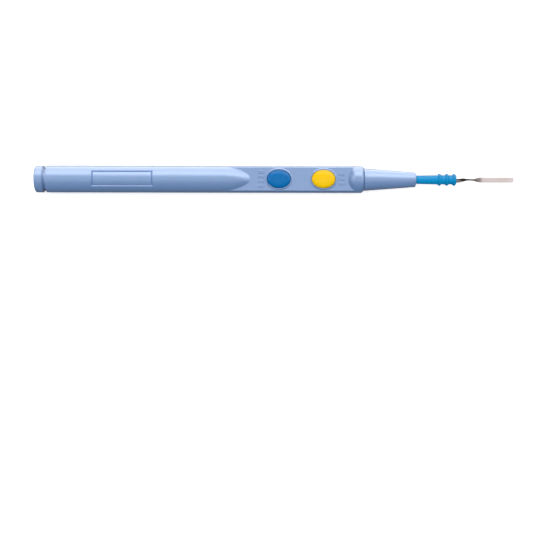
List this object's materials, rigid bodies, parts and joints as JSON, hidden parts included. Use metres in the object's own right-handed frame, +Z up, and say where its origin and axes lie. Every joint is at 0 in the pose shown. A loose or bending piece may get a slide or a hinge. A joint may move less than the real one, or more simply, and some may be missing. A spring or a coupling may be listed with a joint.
{
  "type": "electrosurgical pencil",
  "caption": "Hand-switched electrosurgical pencil: round light-blue handle with push buttons on a flat deck, ribbed insulating sleeve and a plug-in steel blade electrode.",
  "frame": {"origin": "under the middle of the whole pencil, on the surface it lies on with its buttons up", "axes": "+X along the pencil from the cord end to the blade tip, +Y to the left of the handle as the blade points away, +Z up through the button deck"},
  "size_m": [0.2002, 0.0112, 0.0111],
  "materials": {
    "body_blue": "moulded, fine satin",
    "gland_rubber": "matt",
    "button_blue": "gloss",
    "button_yellow": "gloss",
    "sleeve_blue": "gloss",
    "electrode_steel": "drawn and coined",
    "spring_steel": "bright",
    "contact_brass": "turned",
    "solder": "bright",
    "board_green": "solder mask",
    "spacer_film": "film",
    "wire_red": "extruded",
    "wire_white": "extruded",
    "wire_blue": "extruded",
    "seal_rubber": "matt"
  },
  "bodies": {
    "handle": {"upper_shell": "body_blue", "lower_shell": "body_blue", "rear_cap": "body_blue", "cord_gland": "gland_rubber", "nose_cone": "body_blue", "circuit_board": "board_green", "dome_spacer": "spacer_film", "coag_dome": "spring_steel", "cut_dome": "spring_steel", "active_lead": "wire_red", "cut_lead": "wire_white", "coag_lead": "wire_blue", "active_solder": "solder", "cut_solder": "solder", "coag_solder": "solder", "socket_strap": "contact_brass", "contact_socket": "contact_brass", "socket_spring": "spring_steel"},
    "coag_switch": {"coag_button": "button_blue"},
    "cut_switch": {"cut_button": "button_yellow"},
    "seal": {"nose_seal": "seal_rubber"},
    "electrode": {"electrode_sleeve": "sleeve_blue", "electrode_blade": "electrode_steel"}
  },
  "joints": [
    {"name": "coag_press", "type": "slide", "parent": "handle", "child": "coag_switch", "axis": [0, 0, -1], "range_m": [0, 0.0004], "stiffness_N_per_m": 3000, "springref_m": -0.0005, "deforming": ["coag_dome"]},
    {"name": "cut_press", "type": "slide", "parent": "handle", "child": "cut_switch", "axis": [0, 0, -1], "range_m": [0, 0.0004], "stiffness_N_per_m": 3000, "springref_m": -0.0005, "deforming": ["cut_dome"]},
    {"name": "electrode_turn", "type": "hinge", "parent": "handle", "child": "seal", "pos_m": [0.05585, 0, 0.00556], "axis": [1, 0, 0], "continuous": true},
    {"name": "electrode_pull", "type": "slide", "parent": "seal", "child": "electrode", "axis": [1, 0, 0], "range_m": [0, 0.028]}
  ]
}
